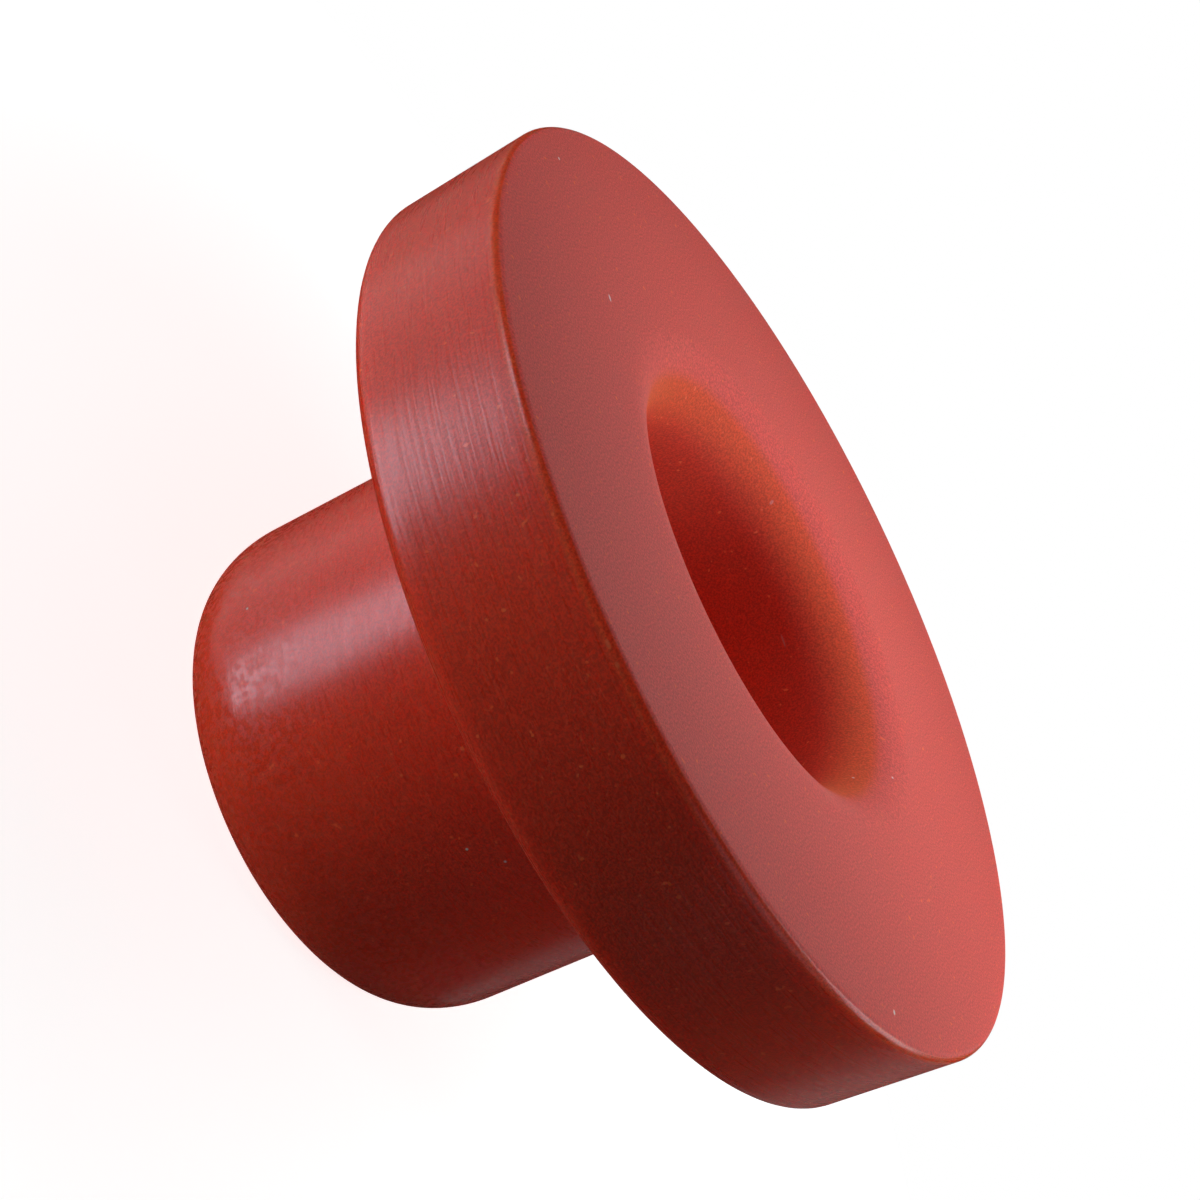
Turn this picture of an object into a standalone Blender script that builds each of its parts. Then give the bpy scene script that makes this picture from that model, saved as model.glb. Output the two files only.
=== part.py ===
"""A coupling nut washer: one moulded piece of rubber, with a thick flange on a short sleeve.

The washer stands on the end of its sleeve, with its axis along +Z and the flange at the top.
The origin is the centre of the sleeve's end face. All lengths are in metres.
"""

from math import cos, pi, sin

import bpy

# Driving dimensions
FLANGE_DIAMETER = 0.022  # a loose fit inside the coupling nut
FLANGE_THICKNESS = 0.0036
SLEEVE_LENGTH = 0.0086  # from the back of the flange to the end face
BORE_DIAMETER = 0.0088  # stretches over a 9.5 mm supply tube
SLEEVE_WALL = 0.00165
MOUTH_RADIUS = 0.0017  # bell mouth of the bore, on the outer face of the flange
RIM_TAPER = 0.0001  # how much smaller the rim's radius is at the back, as it left its mould
FRONT_EDGE_RADIUS = 0.0002  # edge of the outer face
BACK_EDGE_RADIUS = 0.0004  # edge on the sleeve's side
ROOT_FILLET_RADIUS = 0.0004  # where the sleeve meets the flange
NOSE_LAND = 0.00055  # width of the flat ring on the sleeve's end
NOSE_LENGTH = 0.0018  # length of the sleeve that its rounded nose takes up

# Fineness of the turned surface
TURN_STEPS = 96
MOUTH_STEPS = 8
NOSE_STEPS = 7
EDGE_STEPS = 4
SHARP_ANGLE = pi / 6
JOIN_DISTANCE = 0.000001

# Red rubber
RUBBER_COLOUR = (0.42, 0.055, 0.035, 1.0)
RUBBER_ROUGHNESS = 0.45
RUBBER_SUBSURFACE = 0.35
RUBBER_SCATTER_DISTANCE = 0.0012

# What follows from the driving dimensions
total_length = SLEEVE_LENGTH + FLANGE_THICKNESS
flange_radius = FLANGE_DIAMETER / 2
bore_radius = BORE_DIAMETER / 2
sleeve_radius = bore_radius + SLEEVE_WALL
nose_reach = SLEEVE_WALL - NOSE_LAND


def clear_scene():
    """Removes every object that the file opened with."""
    for obj in list(bpy.data.objects):
        bpy.data.objects.remove(obj, do_unlink=True)


def arc(centre, reach, start, end, steps):
    """Points of a round or oval arc in the XZ plane, with both its ends.

    centre is (x, z), reach is the half-width along X and along Z, and start and end are in quarter turns.
    """
    angles = [(start + (end - start) * i / steps) * pi / 2 for i in range(steps + 1)]
    return [(centre[0] + reach[0] * cos(a), centre[1] + reach[1] * sin(a)) for a in angles]


def washer_section():
    """The section as a closed loop of (radius, height).

    It runs down the outer side from the flange's outer face, and comes back up the bore.
    """
    front = total_length
    back = SLEEVE_LENGTH
    front_edge = arc(
        (flange_radius - FRONT_EDGE_RADIUS, front - FRONT_EDGE_RADIUS),
        (FRONT_EDGE_RADIUS, FRONT_EDGE_RADIUS), 1, 0, EDGE_STEPS)
    back_edge = arc(
        (flange_radius - RIM_TAPER - BACK_EDGE_RADIUS, back + BACK_EDGE_RADIUS),
        (BACK_EDGE_RADIUS, BACK_EDGE_RADIUS), 0, -1, EDGE_STEPS)
    root = arc(
        (sleeve_radius + ROOT_FILLET_RADIUS, back - ROOT_FILLET_RADIUS),
        (ROOT_FILLET_RADIUS, ROOT_FILLET_RADIUS), 1, 2, EDGE_STEPS)
    nose = arc((sleeve_radius - nose_reach, NOSE_LENGTH), (nose_reach, NOSE_LENGTH), 0, -1, NOSE_STEPS)
    bore_end = [(bore_radius, 0)]
    mouth = arc(
        (bore_radius + MOUTH_RADIUS, front - MOUTH_RADIUS),
        (MOUTH_RADIUS, MOUTH_RADIUS), 2, 1, MOUTH_STEPS)
    return front_edge + back_edge + root + nose + bore_end + mouth


def turned_object(name, section, steps):
    """An object that turns a closed section about +Z."""
    mesh = bpy.data.meshes.new(name)
    count = len(section)
    mesh.from_pydata([(x, 0, z) for x, z in section], [(i, (i + 1) % count) for i in range(count)], [])
    obj = bpy.data.objects.new(name, mesh)
    turn = obj.modifiers.new("turn", "SCREW")
    turn.axis = "Z"
    turn.angle = 2 * pi
    turn.steps = steps
    turn.render_steps = steps
    turn.use_merge_vertices = True
    turn.merge_threshold = JOIN_DISTANCE
    turn.use_smooth_shade = True
    return obj


def shade(obj):
    """Applies the turn, and keeps only the true corners sharp in shading."""
    bpy.context.view_layer.update()
    turned = bpy.data.meshes.new_from_object(obj.evaluated_get(bpy.context.evaluated_depsgraph_get()))
    turned.shade_smooth()
    turned.set_sharp_from_angle(angle=SHARP_ANGLE)
    section_mesh = obj.data
    obj.modifiers.clear()
    obj.data = turned
    bpy.data.meshes.remove(section_mesh)
    turned.name = obj.name


def red_rubber():
    """A satin red rubber that lets a little light in."""
    material = bpy.data.materials.new("red_rubber")
    material.use_nodes = True
    surface = material.node_tree.nodes["Principled BSDF"]
    surface.inputs["Base Color"].default_value = RUBBER_COLOUR
    surface.inputs["Roughness"].default_value = RUBBER_ROUGHNESS
    surface.inputs["Metallic"].default_value = 0
    surface.inputs["Subsurface Weight"].default_value = RUBBER_SUBSURFACE
    surface.inputs["Subsurface Scale"].default_value = RUBBER_SCATTER_DISTANCE
    return material


def main():
    clear_scene()
    washer_parts = bpy.data.collections.new("coupling_nut_washer")
    bpy.context.scene.collection.children.link(washer_parts)
    washer = turned_object("flanged_washer", washer_section(), TURN_STEPS)
    washer_parts.objects.link(washer)
    shade(washer)
    washer.data.materials.append(red_rubber())


main()
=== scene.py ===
"""Looks of a coupling nut washer: one moulded piece of red rubber, standing on the end of its sleeve."""

import logging
from dataclasses import dataclass, field
from enum import Enum
from math import cos, hypot, pi, radians, sin
from typing import Callable, Iterable, Optional, Union

import bmesh
import bpy
from mathutils import Euler, Matrix, Vector


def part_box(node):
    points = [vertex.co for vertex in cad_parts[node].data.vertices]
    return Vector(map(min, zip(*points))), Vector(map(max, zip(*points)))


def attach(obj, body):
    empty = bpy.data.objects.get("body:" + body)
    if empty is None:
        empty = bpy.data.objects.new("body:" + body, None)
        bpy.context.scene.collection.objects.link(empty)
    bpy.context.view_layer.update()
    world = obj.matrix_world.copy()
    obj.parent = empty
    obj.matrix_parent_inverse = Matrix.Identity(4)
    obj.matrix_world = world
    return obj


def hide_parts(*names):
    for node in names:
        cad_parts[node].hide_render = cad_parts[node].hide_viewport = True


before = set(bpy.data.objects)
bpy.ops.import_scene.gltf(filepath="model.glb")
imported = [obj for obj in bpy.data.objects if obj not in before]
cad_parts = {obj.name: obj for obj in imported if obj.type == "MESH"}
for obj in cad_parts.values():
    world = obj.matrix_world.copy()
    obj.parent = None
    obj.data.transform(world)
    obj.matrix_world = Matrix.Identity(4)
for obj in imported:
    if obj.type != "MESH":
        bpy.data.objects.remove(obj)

log = logging.getLogger("coupling_nut_washer")

NODE = "flanged_washer"
BODY = "root"
MM = 0.001

Socket = bpy.types.NodeSocket
Value = Union[float, Socket]
Colour = tuple[float, float, float, float]
Range = tuple[float, float]
Place = tuple[float, float, float]
PlaceValue = Union[Place, Socket]
ColourValue = Union[Colour, Socket]

WHITE: Colour = (1.0, 1.0, 1.0, 1.0)


class Tone(Enum):
    """The colours of small marks and specks, in linear light."""

    DUST = (0.80, 0.66, 0.68, 1.0)
    SCRATCH = (0.60, 0.20, 0.16, 1.0)
    PIT = (0.78, 0.28, 0.13, 1.0)
    SPECK = (0.90, 0.16, 0.06, 1.0)


class Surface(Enum):
    """The surfaces of the washer that a mark can lie on."""

    OUTER_FACE = "outer face"
    RIM = "rim"
    SLEEVE = "sleeve"
    MOUTH = "mouth"
    BORE = "bore"


def select_nothing() -> None:
    """Leaves every object unselected, in object mode."""
    if bpy.context.mode != "OBJECT":
        bpy.ops.object.mode_set(mode="OBJECT")
    bpy.ops.object.select_all(action="DESELECT")


def pick(
    edges: Optional[Callable[[bmesh.types.BMEdge], bool]] = None,
    faces: Optional[Callable[[bmesh.types.BMFace], bool]] = None,
) -> None:
    """Selects edges or faces of the mesh in edit mode by a test, and nothing else.

    Args:
        edges: A test on each edge, or None.
        faces: A test on each face, or None.
    """
    bpy.ops.mesh.select_mode(type="FACE" if faces else "EDGE")
    bpy.ops.mesh.select_all(action="DESELECT")
    mesh = bmesh.from_edit_mesh(bpy.context.edit_object.data)
    for item in mesh.faces if faces else mesh.edges:
        if (faces or edges)(item):
            item.select = True
    mesh.select_flush_mode()
    bmesh.update_edit_mesh(bpy.context.edit_object.data)


@dataclass(frozen=True)
class WasherSizes:
    """The washer's sizes in metres. The whole height and the flange's radius come from the frame.

    Attributes:
        height: From the sleeve's end to the outer face.
        flange_radius: The rim's radius at its front edge.
        flange_thickness: From the outer face to the flange's back.
        rim_taper: How much smaller the rim's radius is at its back edge.
        sleeve_radius: The sleeve's radius outside.
        bore_radius: The straight bore's radius.
        mouth_radius: The round of the bell mouth.
        front_edge_radius: The round of the outer face's edge.
        back_edge_radius: The round of the rim's back edge.
        root_fillet_radius: The round where the sleeve starts.
        nose_reach: How far in the sleeve's rounded nose reaches.
        nose_length: How far up it reaches.
    """

    height: float
    flange_radius: float
    flange_thickness: float = 3.6 * MM
    rim_taper: float = 0.1 * MM
    sleeve_radius: float = 6.05 * MM
    bore_radius: float = 4.4 * MM
    mouth_radius: float = 1.7 * MM
    front_edge_radius: float = 0.2 * MM
    back_edge_radius: float = 0.4 * MM
    root_fillet_radius: float = 0.4 * MM
    nose_reach: float = 1.1 * MM
    nose_length: float = 1.8 * MM

    @classmethod
    def from_frame(cls) -> "WasherSizes":
        """The sizes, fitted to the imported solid's box."""
        low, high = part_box(NODE)
        return cls(height=high.z - low.z, flange_radius=(high.x - low.x) / 2)

    @property
    def back(self) -> float:
        """Height of the flange's back face."""
        return self.height - self.flange_thickness

    @property
    def back_radius(self) -> float:
        """Radius of the rim at its back edge."""
        return self.flange_radius - self.rim_taper

    def mouth_at(self, height: float) -> float:
        """Radius of the bell mouth at a height.

        Args:
            height: The height above the sleeve's end.

        Returns:
            The distance from the axis.
        """
        down = self.mouth_radius - (self.height - height)
        return self.bore_radius + self.mouth_radius - (self.mouth_radius ** 2 - down ** 2) ** 0.5


@dataclass(frozen=True)
class Fineness:
    """How finely the turned surface is divided.

    Attributes:
        round_the_axis: Faces round the axis.
        mouth: Faces across the bell mouth.
        nose: Faces across the sleeve's nose.
        edge: Faces across each small round.
        straights: Cuts across each long straight stretch of the section.
        longest_uncut: The length that such a stretch may have without them.
        sharp_angle: The angle from which an edge is shaded sharp.
    """

    round_the_axis: int = 256
    mouth: int = 24
    nose: int = 20
    edge: int = 8
    straights: int = 8
    longest_uncut: float = 0.9 * MM
    sharp_angle: float = radians(40)


@dataclass(frozen=True)
class Mark:
    """A small mark on the surface, such as a fleck of dust or a scratch.

    Attributes:
        surface: Where it lies.
        turn: Angle round the axis in degrees, from +X.
        place: Distance from the axis on the outer face, and height on the other surfaces, in mm.
        width: Half its width in mm.
        length: Half its length in mm.
        slant: The angle of its length to the way round the washer, in degrees.
        tone: Its colour.
        cover: How much of the rubber it hides.
    """

    surface: Surface
    turn: float
    place: float
    width: float = 0.04
    length: float = 0.04
    slant: float = 0.0
    tone: Tone = Tone.DUST
    cover: float = 1.0

    def centre(self, sizes: WasherSizes) -> Vector:
        """The mark's centre on the washer.

        Args:
            sizes: The washer's sizes.

        Returns:
            A point in metres.
        """
        place = self.place * MM
        if self.surface is Surface.OUTER_FACE:
            radius, height = place, sizes.height
        elif self.surface is Surface.MOUTH:
            radius, height = sizes.mouth_at(place), place
        else:
            radius = {
                Surface.RIM: sizes.flange_radius,
                Surface.SLEEVE: sizes.sleeve_radius,
                Surface.BORE: sizes.bore_radius,
            }[self.surface]
            height = place
        angle = radians(self.turn)
        return Vector((radius * cos(angle), radius * sin(angle), height))

    def rotation(self) -> Euler:
        """Finds the mark's own axes.

        Returns:
            The turn to them: out from the axis, then along the mark's length, then across it.
        """
        about = "Z" if self.surface is Surface.OUTER_FACE else "X"
        turned = Matrix.Rotation(radians(self.turn), 3, "Z")
        return (turned @ Matrix.Rotation(radians(self.slant), 3, about)).to_euler()

    def reach(self) -> Vector:
        """Half its size along each of its own axes, in metres."""
        return Vector((self.width, self.length, self.width)) * MM


@dataclass(frozen=True)
class Pattern:
    """A noise pattern.

    Attributes:
        size: The size of its cells, in the units of the place it is read at.
        detail: Octaves of finer noise.
        roughness: How strong the finer octaves are.
    """

    size: float
    detail: float = 1.0
    roughness: float = 0.5


class Graph:
    """Writes a material's nodes, one call a node."""

    def __init__(self, tree: bpy.types.NodeTree) -> None:
        """Empties the tree.

        Args:
            tree: The node tree to write.
        """
        self.tree = tree
        tree.nodes.clear()

    def node(self, kind: str, inputs: Optional[dict] = None, **settings: object) -> bpy.types.Node:
        """Adds a node.

        Args:
            kind: Its type, such as ShaderNodeMath.
            inputs: Values or sockets, by the input's name or number.
            **settings: The node's own settings.

        Returns:
            The node.
        """
        node = self.tree.nodes.new(kind)
        for name, value in settings.items():
            setattr(node, name, value)
        for name, value in (inputs or {}).items():
            self._fill(node.inputs[name], value)
        return node

    def _fill(self, socket: Socket, value: Union[Value, Colour, Vector, Euler]) -> None:
        """Links a socket to another, or sets its value.

        Args:
            socket: The input to fill.
            value: The other socket, or the value.
        """
        if isinstance(value, Socket):
            self.tree.links.new(value, socket)
        else:
            socket.default_value = value

    def math(self, operation: str, a: Value, b: Value) -> Socket:
        """Calculates with two numbers.

        Args:
            operation: The Math node's operation.
            a: The first value or socket.
            b: The second value or socket.

        Returns:
            The result's socket.
        """
        return self.node("ShaderNodeMath", {0: a, 1: b}, operation=operation).outputs[0]

    def vector(self, operation: str, a: PlaceValue, b: PlaceValue = (0, 0, 0)) -> Socket:
        """Calculates with two vectors.

        Args:
            operation: The Vector Math node's operation.
            a: The first vector.
            b: The second vector.

        Returns:
            The resulting vector's socket.
        """
        return self.node("ShaderNodeVectorMath", {0: a, 1: b}, operation=operation).outputs[0]

    def length(self, vector: Socket) -> Socket:
        """The length of a vector."""
        return self.node("ShaderNodeVectorMath", {0: vector}, operation="LENGTH").outputs["Value"]

    def choose(self, share: Value, a: Value, b: Value) -> Socket:
        """Two numbers mixed.

        Args:
            share: How much of b there is, so that a test of 0 or 1 chooses between them.
            a: The first value or socket.
            b: The second value or socket.

        Returns:
            The result's socket.
        """
        # The Mix node has several sockets of each name, so they are given by number.
        return self.node("ShaderNodeMix", {0: share, 2: a, 3: b}, data_type="FLOAT").outputs[0]

    def ramp(
        self, value: Value, low: float, high: float, to_low: float = 0.0, to_high: float = 1.0,
    ) -> Socket:
        """A value carried smoothly from one range to another, and clamped there.

        Args:
            value: The socket to read.
            low: Where the range starts.
            high: Where it ends.
            to_low: The result at low.
            to_high: The result at high.

        Returns:
            The result's socket.
        """
        return self.node(
            "ShaderNodeMapRange", {0: value, 1: low, 2: high, 3: to_low, 4: to_high},
            interpolation_type="SMOOTHSTEP").outputs[0]

    def noise(self, place: Socket, pattern: Pattern) -> Socket:
        """A noise value.

        Args:
            place: The socket to read the place from.
            pattern: What the noise is like.

        Returns:
            The noise's socket, from 0 to 1.
        """
        return self.node("ShaderNodeTexNoise", {
            "Vector": place, "Scale": 1 / pattern.size,
            "Detail": pattern.detail, "Roughness": pattern.roughness,
        }).outputs[0]

    def blend(self, share: Value, a: ColourValue, b: ColourValue, how: str = "MIX") -> Socket:
        """Two colours mixed.

        Args:
            share: How much of b shows.
            a: The first colour.
            b: The second colour.
            how: The blend type.

        Returns:
            The colour's socket.
        """
        mix = self.node("ShaderNodeMix", {0: share, 6: a, 7: b}, data_type="RGBA", blend_type=how)
        return mix.outputs[2]

    def bump(self, height: Socket, depth: float, normal: Optional[Socket] = None) -> Socket:
        """A relief in the surface.

        Args:
            height: Its height, from 0 to 1.
            depth: How deep a height of 1 is, in metres.
            normal: The relief that it lies on, if there is one.

        Returns:
            The normal's socket.
        """
        inputs = {"Strength": 1.0, "Distance": depth, "Height": height}
        if normal is not None:
            inputs["Normal"] = normal
        return self.node("ShaderNodeBump", inputs).outputs[0]


@dataclass(frozen=True)
class Zones:
    """Where on the washer a shaded point lies, as sockets.

    Attributes:
        place: The point itself.
        across: The point without its height.
        radius: Its distance from the axis.
        height: Its height above the sleeve's end.
        on_sleeve: 1 below the flange.
        inside: 1 in the bore, in its mouth and on the sleeve's end.
        on_face: 1 on the outer face, fading over its edges.
    """

    place: Socket
    across: Socket
    radius: Socket
    height: Socket
    on_sleeve: Socket
    inside: Socket
    on_face: Socket


@dataclass(frozen=True)
class RedRubber:
    """The washer's rubber: a satin, slightly translucent red with turning marks, grain and a little dust.

    Attributes:
        name: The material's name.
        most_noise: The range that nearly all of a noise lies in.
        middle_noise: The range that most of it lies in, for a pattern with more contrast.
        colour: The red.
        darker: The red of the clouds.
        clouds: Their pattern.
        painted_sheen: A paler red painted on the outer face for its grazing sheen: painted sheen.
        face_whole: The share of its fade over which the outer face's zone is still whole.
        edge_fade: How far below the outer face that zone ends at the rim.
        mouth_fade: How far below the outer face it ends in the mouth.
        mouth_margin: How far beyond the mouth the surface still counts as inside.
        end_margin: How far beyond the bore it does so at the sleeve's end.
        painted_edge_light: A lighter orange painted on the front edge for the light it catches: painted
            light.
        edge_inset: How far in from the rim it reaches.
        painted_edge_light_depth: How far below the outer face it starts, and where it is whole.
        painted_mouth_glow: An orange band painted in the mouth for the glow where it turns from lit to
            shaded: painted light.
        painted_mouth_glow_depth: How far below the outer face it starts, and where it is whole.
        specular: How strongly the surface reflects.
        specular_tint: The colour of its reflections.
        scatter_weight: How much of the colour comes from light that goes in.
        scatter_scale: How far red light travels inside.
        scatter_radius: How far red, green and blue light travel, as shares of that.
        satin: The roughness of the rim and the sleeve.
        satin_spread: How far the streaks change it.
        mottle: How far the mottle near the nose changes it.
        mottle_whole: The height up to which the mottle is whole.
        mottle_reach: The height at which it ends.
        matt: The roughness of the outer face and the inside.
        grain: The pattern of the fine grain.
        grain_depth: The depth of the grain.
        grain_contrast: How far the grain lightens and darkens the colour.
        specks: The pattern of the specks and of the mottle.
        speck_noise: Where on that pattern a speck starts, and where it is whole.
        streaks: The pattern of the streaks.
        streak_width: The width of a streak.
        rim_streaks: How many streaks follow each other in a radian of the rim.
        sleeve_streaks: How many streaks follow each other in a radian of the sleeve.
        streak_depth: The depth of the streaks.
        waves: The pattern of the slight waves.
        wave_depth: The depth of the waves.
        mark_core: The share of a mark's size over which it is whole.
    """

    name: str = "red_rubber"
    most_noise: Range = (0.3, 0.7)
    middle_noise: Range = (0.35, 0.65)

    colour: Colour = (0.70, 0.063, 0.026, 1.0)
    darker: Colour = (0.67, 0.057, 0.024, 1.0)
    clouds: Pattern = Pattern(3.5 * MM, detail=2.0)
    # The paler red of the outer face is painted sheen, in place of the sheen it shows at a grazing angle.
    painted_sheen: Colour = (0.70, 0.100, 0.079, 1.0)
    face_whole: float = 0.45
    edge_fade: float = 0.05 * MM
    mouth_fade: float = 0.46 * MM
    mouth_margin: float = 0.2 * MM
    end_margin: float = 0.5 * MM
    # The orange of the front edge is painted light, in place of the light that the edge catches.
    painted_edge_light: Colour = (0.74, 0.10, 0.035, 1.0)
    edge_inset: float = 0.24 * MM
    painted_edge_light_depth: Range = (0.3 * MM, 0.15 * MM)
    # The orange of the mouth is painted light, in place of the glow where its lit curve turns into the
    # shaded bore.
    painted_mouth_glow: Colour = (0.71, 0.090, 0.022, 1.0)
    painted_mouth_glow_depth: Range = (1.6 * MM, 0.6 * MM)

    specular: float = 0.5
    specular_tint: Colour = (0.86, 0.82, 1.0, 1.0)
    scatter_weight: float = 1.0
    scatter_scale: float = 0.8 * MM
    scatter_radius: tuple[float, float, float] = (1.0, 0.15, 0.08)

    satin: float = 0.285
    satin_spread: float = 0.022
    mottle: float = 0.12
    mottle_whole: float = 1.0 * MM
    mottle_reach: float = 4.5 * MM
    matt: float = 0.75

    grain: Pattern = Pattern(0.05 * MM, detail=2.0, roughness=0.6)
    grain_depth: float = 0.0012 * MM
    grain_contrast: float = 0.22
    specks: Pattern = Pattern(0.16 * MM)
    speck_noise: Range = (0.71, 0.79)
    streaks: Pattern = Pattern(1.0)
    streak_width: float = 0.09 * MM
    rim_streaks: float = 7.0
    sleeve_streaks: float = 14.0
    streak_depth: float = 0.006 * MM
    waves: Pattern = Pattern(2.5 * MM, roughness=0.4)
    wave_depth: float = 0.02 * MM
    mark_core: float = 0.5

    def material(self, sizes: WasherSizes, marks: Iterable[Mark]) -> bpy.types.Material:
        """The finish as a material.

        Args:
            sizes: The washer's sizes, which the zones follow.
            marks: The small marks on it.

        Returns:
            The material.
        """
        material = bpy.data.materials.new(self.name)
        material.use_nodes = True
        graph = Graph(material.node_tree)
        zones = self._zones(graph, sizes)
        unpolished = graph.math("MAXIMUM", zones.on_face, zones.inside)
        grain = graph.noise(zones.place, self.grain)
        specks = graph.noise(zones.place, self.specks)
        streaks = self._streaks(graph, zones)
        colour = self._skin(graph, zones, sizes)
        colour = self._dotted(graph, colour, grain, specks)
        surface = graph.node("ShaderNodeBsdfPrincipled", {
            "Base Color": self._marked(graph, colour, zones, sizes, marks),
            "Roughness": self._roughness(graph, zones, specks, streaks, unpolished),
            "Normal": self._relief(graph, zones, grain, streaks, unpolished),
            "Specular IOR Level": self.specular,
            "Specular Tint": self.specular_tint,
            "Subsurface Weight": self.scatter_weight,
            "Subsurface Radius": self.scatter_radius,
            "Subsurface Scale": self.scatter_scale,
        })
        graph.node("ShaderNodeOutputMaterial", {"Surface": surface.outputs[0]})
        return material

    def _zones(self, graph: Graph, sizes: WasherSizes) -> Zones:
        """Finds where a shaded point lies.

        Args:
            graph: The material's nodes.
            sizes: The washer's sizes.

        Returns:
            The zones.
        """
        place = graph.node("ShaderNodeTexCoord").outputs["Object"]
        height = graph.node("ShaderNodeSeparateXYZ", {0: place}).outputs[2]
        across = graph.vector("MULTIPLY", place, (1, 1, 0))
        radius = graph.length(across)
        on_sleeve = graph.math("LESS_THAN", height, sizes.back)
        mouth_limit = sizes.bore_radius + sizes.mouth_radius + self.mouth_margin
        inner_limit = graph.choose(on_sleeve, mouth_limit, sizes.bore_radius + self.end_margin)
        inside = graph.math("LESS_THAN", radius, inner_limit)
        fade = graph.choose(inside, self.edge_fade, self.mouth_fade)
        depth = graph.math("DIVIDE", graph.math("SUBTRACT", sizes.height, height), fade)
        on_face = graph.ramp(depth, self.face_whole, 1.0, 1.0, 0.0)
        return Zones(place, across, radius, height, on_sleeve, inside, on_face)

    def _streaks(self, graph: Graph, zones: Zones) -> Socket:
        """Short fine lines round the rim and the sleeve, as a turned mould leaves them.

        Args:
            graph: The material's nodes.
            zones: Where the point lies.

        Returns:
            A noise that is long round the axis and short along the section.
        """
        heading = graph.vector("NORMALIZE", zones.across)
        count = graph.choose(zones.on_sleeve, self.rim_streaks, self.sleeve_streaks)
        round_about = graph.node(
            "ShaderNodeVectorMath", {0: heading, "Scale": count}, operation="SCALE").outputs[0]
        along = graph.math("DIVIDE", graph.math("ADD", zones.height, zones.radius), self.streak_width)
        lift = graph.node("ShaderNodeCombineXYZ", {2: along}).outputs[0]
        return graph.noise(graph.vector("ADD", round_about, lift), self.streaks)

    def _skin(self, graph: Graph, zones: Zones, sizes: WasherSizes) -> Socket:
        """Red with faint clouds, painted light in orange on the front edge and in the mouth, and painted
        sheen on the face.

        Args:
            graph: The material's nodes.
            zones: Where the point lies.
            sizes: The washer's sizes.

        Returns:
            The colour.
        """
        cloudy = graph.ramp(graph.noise(zones.place, self.clouds), *self.middle_noise)
        colour = graph.blend(cloudy, self.colour, self.darker)
        # Painted light: the front edge is made a lighter orange in place of the light that it catches.
        outer = graph.math("GREATER_THAN", zones.radius, sizes.flange_radius - self.edge_inset)
        edge_from, edge_to = self.painted_edge_light_depth
        near_top = graph.ramp(zones.height, sizes.height - edge_from, sizes.height - edge_to)
        colour = graph.blend(graph.math("MULTIPLY", outer, near_top), colour, self.painted_edge_light)
        # Painted light: an orange band in the mouth in place of the glow where it turns from lit to
        # shaded.
        mouth_from, mouth_to = self.painted_mouth_glow_depth
        in_bell = graph.ramp(zones.height, sizes.height - mouth_from, sizes.height - mouth_to)
        colour = graph.blend(graph.math("MULTIPLY", zones.inside, in_bell), colour, self.painted_mouth_glow)
        # Painted sheen: the outer face is made paler in place of its grazing sheen.
        return graph.blend(zones.on_face, colour, self.painted_sheen)

    def _dotted(self, graph: Graph, colour: Socket, grain: Socket, specks: Socket) -> Socket:
        """Adds the fine grain and the sparse specks.

        Args:
            graph: The material's nodes.
            colour: The colour so far.
            grain: The grain's noise.
            specks: The specks' noise.

        Returns:
            The colour with them.
        """
        shade = graph.ramp(grain, *self.most_noise, 1 - self.grain_contrast, 1 + self.grain_contrast)
        grey = graph.node("ShaderNodeCombineColor", {0: shade, 1: shade, 2: shade}).outputs[0]
        grained = graph.blend(1.0, colour, grey, "MULTIPLY")
        return graph.blend(graph.ramp(specks, *self.speck_noise), grained, Tone.SPECK.value)

    def _marked(
        self, graph: Graph, colour: Socket, zones: Zones, sizes: WasherSizes, marks: Iterable[Mark],
    ) -> Socket:
        """Adds the larger marks, one by one.

        Args:
            graph: The material's nodes.
            colour: The colour so far.
            zones: Where the point lies.
            sizes: The washer's sizes.
            marks: The marks.

        Returns:
            The colour with them.
        """
        for mark in marks:
            own = graph.node("ShaderNodeMapping", {
                "Vector": zones.place, "Location": mark.centre(sizes), "Rotation": mark.rotation(),
                "Scale": mark.reach(),
            }, vector_type="TEXTURE").outputs[0]
            cover = graph.ramp(graph.length(own), self.mark_core, 1.0, mark.cover, 0.0)
            colour = graph.blend(cover, colour, mark.tone.value)
        return colour

    def _roughness(
        self, graph: Graph, zones: Zones, specks: Socket, streaks: Socket, unpolished: Socket,
    ) -> Socket:
        """Satin and streaky on the rim and the sleeve, mottled near its nose, and matt elsewhere.

        Args:
            graph: The material's nodes.
            zones: Where the point lies.
            specks: The specks' noise, which the mottle follows.
            streaks: The streaks' noise.
            unpolished: 1 where the rubber is matt.

        Returns:
            The roughness.
        """
        streaked = graph.ramp(
            streaks, *self.most_noise, self.satin - self.satin_spread, self.satin + self.satin_spread)
        near_nose = graph.ramp(zones.height, self.mottle_whole, self.mottle_reach, self.mottle, 0.0)
        dots = graph.ramp(specks, *self.middle_noise, -1.0, 1.0)
        satin = graph.math("ADD", streaked, graph.math("MULTIPLY", dots, near_nose))
        return graph.choose(unpolished, satin, self.matt)

    def _relief(
        self, graph: Graph, zones: Zones, grain: Socket, streaks: Socket, unpolished: Socket,
    ) -> Socket:
        """Slight waves, the streaks and the grain, each as a bump on the last.

        Args:
            graph: The material's nodes.
            zones: Where the point lies.
            grain: The grain's noise.
            streaks: The streaks' noise.
            unpolished: 1 where there are no streaks.

        Returns:
            The normal.
        """
        waved = graph.bump(graph.noise(zones.place, self.waves), self.wave_depth)
        polished = graph.math("SUBTRACT", 1.0, unpolished)
        streaked = graph.bump(graph.math("MULTIPLY", streaks, polished), self.streak_depth, waved)
        return graph.bump(grain, self.grain_depth, streaked)


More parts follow.
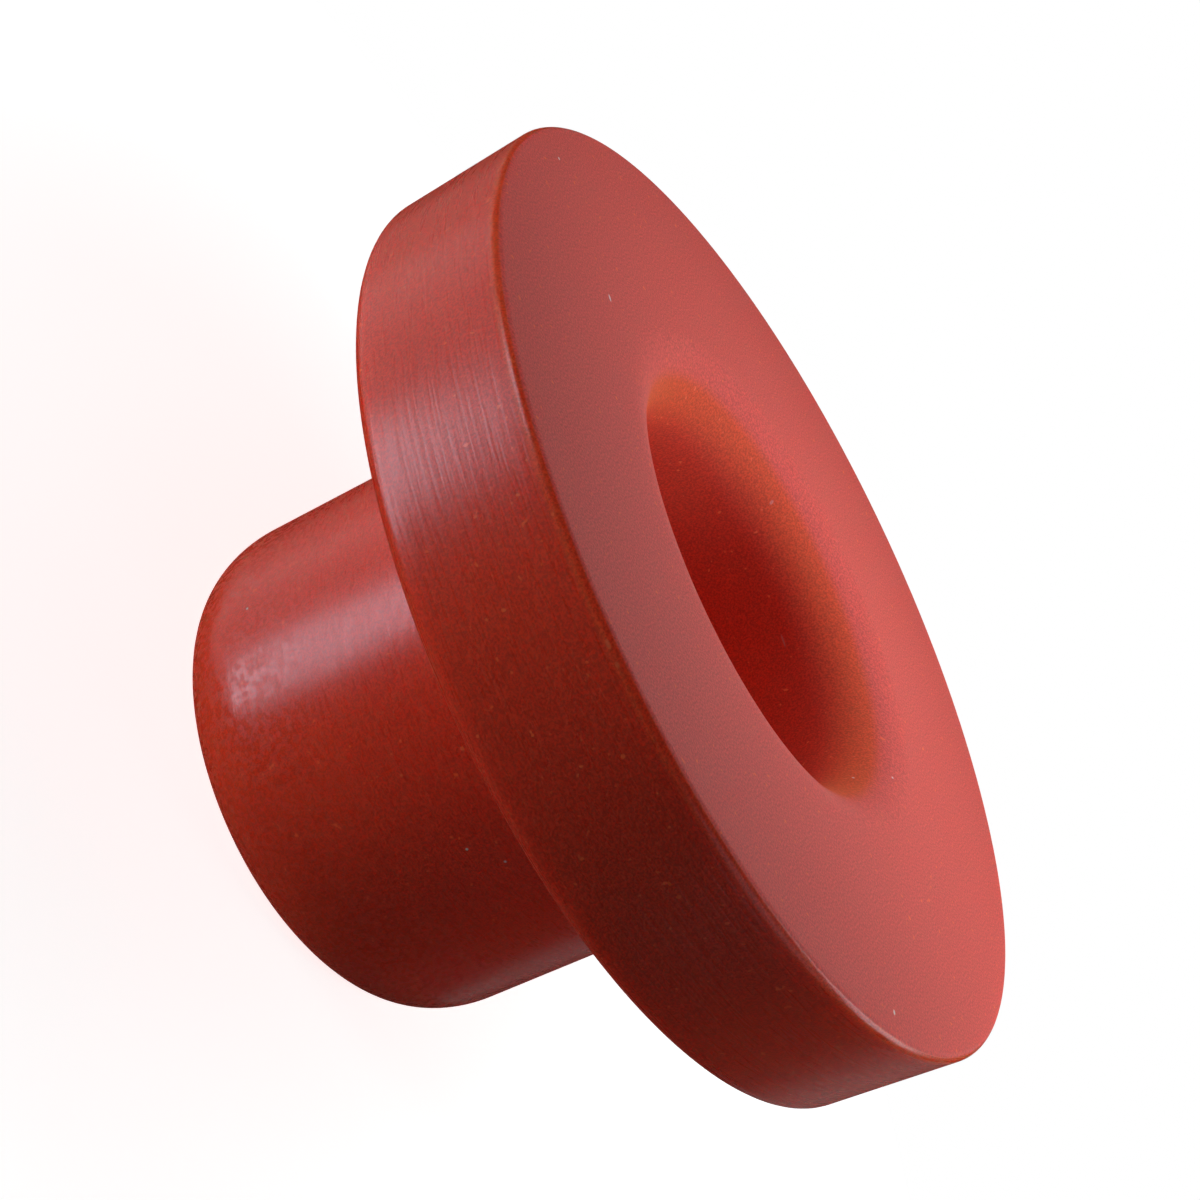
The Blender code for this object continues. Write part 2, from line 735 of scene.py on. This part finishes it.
@dataclass
class Washer:
    """The washer: a thick flange on a short sleeve, bored through, with a bell mouth on its outer face.

    Attributes:
        sizes: Its sizes.
        finish: Its rubber.
        fineness: How finely it is divided.
        marks: The small marks on it.
        near: How far a point may be from where it is looked for.
        weld: The distance at which points are merged.
        slack: How much longer than straight an edge along the section may be.
    """

    sizes: WasherSizes
    finish: RedRubber = field(default_factory=RedRubber)
    fineness: Fineness = field(default_factory=Fineness)
    marks: tuple[Mark, ...] = ()
    near: float = 0.02 * MM
    weld: float = 0.0005 * MM
    slack: float = 1.05

    def build(self) -> bpy.types.Object:
        """Models the washer, dresses it and puts it in the frame.

        Returns:
            The finished object.
        """
        obj = self._flange_blank()
        bpy.ops.object.mode_set(mode="EDIT")
        self._draw_out_sleeve()
        self._open_bore()
        self._taper_rim()
        self._round_nose()
        self._round_edges()
        self._divide_straights()
        bpy.ops.mesh.select_all(action="SELECT")
        bpy.ops.mesh.remove_doubles(threshold=self.weld)
        bpy.ops.mesh.normals_make_consistent(inside=False)
        bpy.ops.object.mode_set(mode="OBJECT")
        bpy.ops.object.transform_apply(location=True, rotation=True, scale=True)
        bpy.ops.object.shade_smooth_by_angle(angle=self.fineness.sharp_angle)
        obj.data.materials.append(self.finish.material(self.sizes, self.marks))
        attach(obj, BODY)
        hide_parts(NODE)
        return obj

    def _flange_blank(self) -> bpy.types.Object:
        """Makes the flange as a plain disc, at its place.

        Returns:
            The object, which is the active one.
        """
        s = self.sizes
        select_nothing()
        bpy.ops.mesh.primitive_cylinder_add(
            vertices=self.fineness.round_the_axis, radius=s.flange_radius, depth=s.flange_thickness,
            end_fill_type="NGON", location=(0, 0, s.back + s.flange_thickness / 2))
        obj = bpy.context.active_object
        obj.name = obj.data.name = "rubber_washer"
        bpy.ops.object.transform_apply(location=True, rotation=False, scale=False)
        return obj

    def _is_cap(self, face: bmesh.types.BMFace, height: float) -> bool:
        """Tests whether a face is the whole end of the blank at a height.

        Args:
            face: The face.
            height: The height.

        Returns:
            Whether it is.
        """
        whole = len(face.verts) == self.fineness.round_the_axis
        return whole and abs(face.calc_center_median().z - height) < self.near

    def _is_ring(self, edge: bmesh.types.BMEdge, radius: float, height: float) -> bool:
        """Tests whether an edge is part of a ring round the axis.

        Args:
            edge: The edge.
            radius: The ring's radius.
            height: The ring's height.

        Returns:
            Whether it is.
        """
        return all(
            abs(hypot(v.co.x, v.co.y) - radius) < self.near and abs(v.co.z - height) < self.near
            for v in edge.verts)

    def _is_nose(self, edge: bmesh.types.BMEdge) -> bool:
        """Tests whether an edge is part of the sleeve's rounded end.

        Args:
            edge: The edge.

        Returns:
            Whether it is.
        """
        return all(
            v.co.z < self.sizes.nose_reach + self.near
            and hypot(v.co.x, v.co.y) > self.sizes.bore_radius + self.near
            for v in edge.verts)

    def _is_long(self, edge: bmesh.types.BMEdge) -> bool:
        """Tests whether an edge runs straight along the section for longer than a face should.

        Args:
            edge: The edge.

        Returns:
            Whether it does.
        """
        a, b = (v.co for v in edge.verts)
        along = abs(hypot(a.x, a.y) - hypot(b.x, b.y)) + abs(a.z - b.z)
        return along > self.fineness.longest_uncut and (a - b).length < along * self.slack

    def _draw_out_sleeve(self) -> None:
        """Insets the back of the disc to the sleeve's size and draws the sleeve out of it."""
        s = self.sizes
        pick(faces=lambda f: self._is_cap(f, s.back))
        bpy.ops.mesh.inset(thickness=s.flange_radius - s.sleeve_radius, depth=0)
        bpy.ops.mesh.extrude_region_move(TRANSFORM_OT_translate={"value": (0, 0, -s.back)})

    def _open_bore(self) -> None:
        """Insets both ends to the bore's size and joins them with its wall."""
        s = self.sizes
        pick(faces=lambda f: self._is_cap(f, s.height))
        bpy.ops.mesh.inset(thickness=s.flange_radius - s.bore_radius, depth=0)
        pick(faces=lambda f: self._is_cap(f, 0))
        bpy.ops.mesh.inset(thickness=s.sleeve_radius - s.bore_radius, depth=0)
        pick(faces=lambda f: self._is_cap(f, 0) or self._is_cap(f, s.height))
        bpy.ops.mesh.bridge_edge_loops()

    def _taper_rim(self) -> None:
        """Narrows the rim a little towards its back edge."""
        s = self.sizes
        pick(edges=lambda e: self._is_ring(e, s.flange_radius, s.back))
        share = s.back_radius / s.flange_radius
        bpy.ops.transform.resize(value=(share, share, 1), center_override=(0, 0, s.back))

    def _round_nose(self) -> None:
        """Rounds the sleeve's end, then stretches the round along the axis to an oval."""
        s = self.sizes
        pick(edges=lambda e: self._is_ring(e, s.sleeve_radius, 0))
        self._bevel(s.nose_reach, self.fineness.nose)
        pick(edges=self._is_nose)
        bpy.ops.transform.resize(value=(1, 1, s.nose_length / s.nose_reach), center_override=(0, 0, 0))

    def _round_edges(self) -> None:
        """Rounds the bell mouth, both edges of the rim and the corner where the sleeve starts."""
        s = self.sizes
        for radius, height, reach, segments in (
            (s.bore_radius, s.height, s.mouth_radius, self.fineness.mouth),
            (s.flange_radius, s.height, s.front_edge_radius, self.fineness.edge),
            (s.back_radius, s.back, s.back_edge_radius, self.fineness.edge),
            (s.sleeve_radius, s.back, s.root_fillet_radius, self.fineness.edge),
        ):
            pick(edges=lambda e: self._is_ring(e, radius, height))
            self._bevel(reach, segments)

    def _bevel(self, reach: float, segments: int) -> None:
        """Rounds the selected edges.

        Args:
            reach: How far the round reaches from the corner.
            segments: Faces across the round.
        """
        bpy.ops.mesh.bevel(
            offset_type="OFFSET", offset=reach, segments=segments, profile=0.5, affect="EDGES",
            clamp_overlap=False)

    def _divide_straights(self) -> None:
        """Divides the long faces of the flat and straight stretches, so that their shading stays even."""
        pick(edges=self._is_long)
        bpy.ops.mesh.subdivide(number_cuts=self.fineness.straights)


@dataclass(frozen=True)
class Lamp:
    """A soft white lamp with an oval panel, aimed at the washer.

    Attributes:
        name: What it is.
        place: Where it stands, in mm.
        width: How wide its panel is, in mm.
        height: How high its panel is, in mm.
        strength: Its light on a white surface that faces it where the washer is, 1 being a full white.
        lengthwise: The direction that its height runs along, as far as it can while facing the washer.
        reflected: Whether it shows in reflections.
    """

    name: str
    place: Place
    width: float
    height: float
    strength: float
    lengthwise: Place = (0, 0, 1)
    reflected: bool = True

    def build(self, aim: Vector) -> bpy.types.Object:
        """Makes the lamp.

        Args:
            aim: The point that it faces.

        Returns:
            The lamp's object.
        """
        place = Vector(self.place) * MM
        towards = place - aim
        light = bpy.data.lights.new(self.name, "AREA")
        light.shape = "ELLIPSE"
        light.size = self.width * MM
        light.size_y = self.height * MM
        light.energy = self.strength * pi * pi * towards.length_squared
        lamp = bpy.data.objects.new(self.name, light)
        back = towards.normalized()
        side = Vector(self.lengthwise).cross(back).normalized()
        turned = Matrix((side, back.cross(side), back)).transposed().to_4x4()
        lamp.matrix_world = Matrix.Translation(place) @ turned
        lamp.visible_camera = False
        lamp.visible_glossy = self.reflected
        bpy.context.scene.collection.objects.link(lamp)
        return lamp


@dataclass(frozen=True)
class Studio:
    """A pale floor, soft lamps and the camera.

    Attributes:
        aim: The point that the camera and the lamps face.
        camera_place: Where the camera stands.
        camera_roll: How far the camera is rolled, in degrees.
        lens: Its focal length, in mm.
        sensor: The width of its sensor, in mm.
        clip: The nearest and farthest distance that it sees.
        floor_side: The side of the floor.
        floor_grey: How much light the floor gives back.
        shadow_reach: How far the shadow is kept from the axis.
        shadow_core: The share of that over which it is kept whole.
        shadow_glow: The floor's own light in the shadow, 1 being white.
        world_strength: The world as a light.
        lamps: The lamps.
    """

    aim: Vector = Vector((-1.242, 0.0, 8.124)) * MM
    camera_place: Vector = Vector((0.0, -45.735, 25.324)) * MM
    camera_roll: float = 64.4
    lens: float = 64.8
    sensor: float = 36.0
    clip: Range = (0.001, 100.0)
    floor_side: float = 4.0
    floor_grey: float = 0.8
    shadow_reach: float = 32 * MM
    shadow_core: float = 0.4
    shadow_glow: float = 0.82
    world_strength: float = 0.02
    lamps: tuple[Lamp, ...] = (
        Lamp("overhead panel", place=(1, 6, 25), width=16, height=16, strength=0.40),
        Lamp("overhead right panel", place=(20, 3, 25), width=16, height=28, strength=0.345,
             lengthwise=(1, 0, 0)),
        Lamp("overhead left panel", place=(-12, 2, 25), width=16, height=16, strength=0.115),
        Lamp("low side panel", place=(-41, -29, -18), width=22, height=24, strength=0.23),
        Lamp("upper side panel", place=(-46.5, -31, 12), width=22, height=26, strength=0.215),
        Lamp("low back panel", place=(-1, 103, -60), width=120, height=120, strength=1.3, reflected=False),
        Lamp("right panel", place=(114, -66.5, 31.5), width=120, height=120, strength=0.09),
        Lamp("left panel", place=(-90, 0, -37), width=80, height=80, strength=0.095),
        Lamp("left back panel", place=(-88.5, 40, -22), width=80, height=80, strength=0.036),
        Lamp("right back panel", place=(85, 85, -36), width=60, height=60, strength=0.009),
        Lamp("under panel", place=(-20, -45, -110), width=100, height=100, strength=0.12, reflected=False),
    )

    def build(self) -> None:
        """Makes the floor, the lamps, the world and the camera."""
        self._floor()
        self._world()
        for lamp in self.lamps:
            lamp.build(self.aim)
        self._camera()
        bpy.context.scene.view_settings.view_transform = "Standard"

    def _floor(self) -> None:
        """A wide pale floor under the washer, which only the camera sees, and which takes the shadow."""
        select_nothing()
        bpy.ops.mesh.primitive_plane_add(size=self.floor_side, location=(0, 0, 0))
        floor = bpy.context.active_object
        floor.name = "floor"
        material = bpy.data.materials.new("pale_floor")
        material.use_nodes = True
        graph = Graph(material.node_tree)
        away = graph.length(graph.node("ShaderNodeTexCoord").outputs["Object"])
        core = self.shadow_core * self.shadow_reach
        glow = graph.ramp(away, core, self.shadow_reach, self.shadow_glow, 1.0)
        lit = graph.node("ShaderNodeBsdfDiffuse", {"Color": (self.floor_grey,) * 3 + (1,)})
        shine = graph.node("ShaderNodeEmission", {"Color": WHITE, "Strength": glow})
        far = graph.math("GREATER_THAN", away, self.shadow_reach)
        near_lit = graph.node("ShaderNodeMixShader", {0: far, 1: lit.outputs[0]})
        both = graph.node("ShaderNodeAddShader", {0: near_lit.outputs[0], 1: shine.outputs[0]})
        graph.node("ShaderNodeOutputMaterial", {"Surface": both.outputs[0]})
        floor.data.materials.append(material)
        for ray in ("diffuse", "glossy", "transmission", "volume_scatter", "shadow"):
            setattr(floor, f"visible_{ray}", False)

    def _world(self) -> None:
        """A plain world: white behind everything, and dimmer as a light."""
        world = bpy.data.worlds.new("studio")
        bpy.context.scene.world = world
        world.use_nodes = True
        graph = Graph(world.node_tree)
        seen = graph.node("ShaderNodeLightPath").outputs["Is Camera Ray"]
        strength = graph.choose(seen, self.world_strength, 1.0)
        background = graph.node("ShaderNodeBackground", {"Color": WHITE, "Strength": strength})
        graph.node("ShaderNodeOutputWorld", {"Surface": background.outputs[0]})

    def _camera(self) -> None:
        """The camera, at the angle of the photograph."""
        data = bpy.data.cameras.new("camera")
        data.lens = self.lens
        data.sensor_width = self.sensor
        data.clip_start, data.clip_end = self.clip
        camera = bpy.data.objects.new("camera", data)
        ahead = (self.aim - self.camera_place).normalized()
        upright = ahead.to_track_quat("-Z", "Y").to_matrix().to_4x4()
        rolled = upright @ Matrix.Rotation(radians(self.camera_roll), 4, "Z")
        camera.matrix_world = Matrix.Translation(self.camera_place) @ rolled
        bpy.context.scene.collection.objects.link(camera)
        bpy.context.scene.camera = camera


MARKS = (
    Mark(Surface.OUTER_FACE, turn=-170, place=10.21, width=0.05, length=0.05),
    Mark(Surface.OUTER_FACE, turn=-158, place=7.29, width=0.05, length=0.12, slant=40),
    Mark(Surface.OUTER_FACE, turn=-34, place=10.34, width=0.05, length=0.09, slant=60),
    Mark(Surface.RIM, turn=-133, place=9.01, width=0.05, length=0.10, slant=-50),
    Mark(Surface.MOUTH, turn=7, place=11.57),
    Mark(Surface.MOUTH, turn=18, place=12.08),
    Mark(Surface.MOUTH, turn=-95, place=12.17, width=0.05, length=0.07, tone=Tone.PIT, cover=0.8),
    Mark(Surface.MOUTH, turn=111, place=11.51, width=0.05, length=0.30, slant=80, cover=0.25),
    Mark(Surface.SLEEVE, turn=-67, place=5.23),
    Mark(Surface.SLEEVE, turn=-61, place=5.77),
    Mark(Surface.SLEEVE, turn=-135, place=2.21),
    Mark(Surface.BORE, turn=71, place=10.38, width=0.03, length=0.22, tone=Tone.SCRATCH, cover=0.7),
    Mark(Surface.RIM, turn=-91, place=12.05, width=0.05, length=0.12, tone=Tone.PIT, cover=0.5),
    Mark(Surface.RIM, turn=-89, place=12.04, width=0.05, length=0.08, tone=Tone.PIT, cover=0.5),
    Mark(Surface.RIM, turn=-136, place=12.16, width=0.05, length=0.12, tone=Tone.PIT, cover=0.5),
)


def main() -> None:
    """Builds the washer and the studio."""
    logging.basicConfig(level=logging.INFO, format="%(message)s")
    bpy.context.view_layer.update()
    washer = Washer(WasherSizes.from_frame(), marks=MARKS).build()
    log.info("%s: %d faces", washer.name, len(washer.data.polygons))
    Studio().build()


if __name__ == "__main__":
    main()
